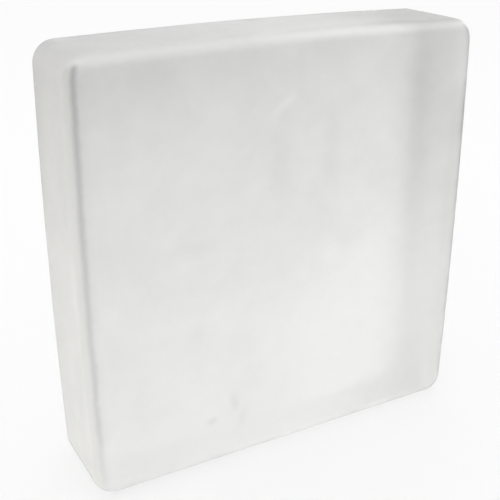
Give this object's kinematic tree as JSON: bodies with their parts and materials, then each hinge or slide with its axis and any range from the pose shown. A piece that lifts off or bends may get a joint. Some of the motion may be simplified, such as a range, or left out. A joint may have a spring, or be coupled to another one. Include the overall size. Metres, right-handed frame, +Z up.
{
  "type": "glass block",
  "caption": "Solid cast glass building block with a satin finish: a square slab with slightly crowned sides, soft rims and a flat base, laid in light-passing walls.",
  "frame": {"origin": "middle of the flat base that the block stands on", "axes": "+X along the base, +Y through the block's thickness towards its back face, +Z up"},
  "size_m": [0.2, 0.05, 0.2],
  "materials": {
    "satin_glass": "satin etched all over, clear neutral glass inside"
  },
  "bodies": {
    "root": {"glass_block": "satin_glass"}
  },
  "joints": []
}
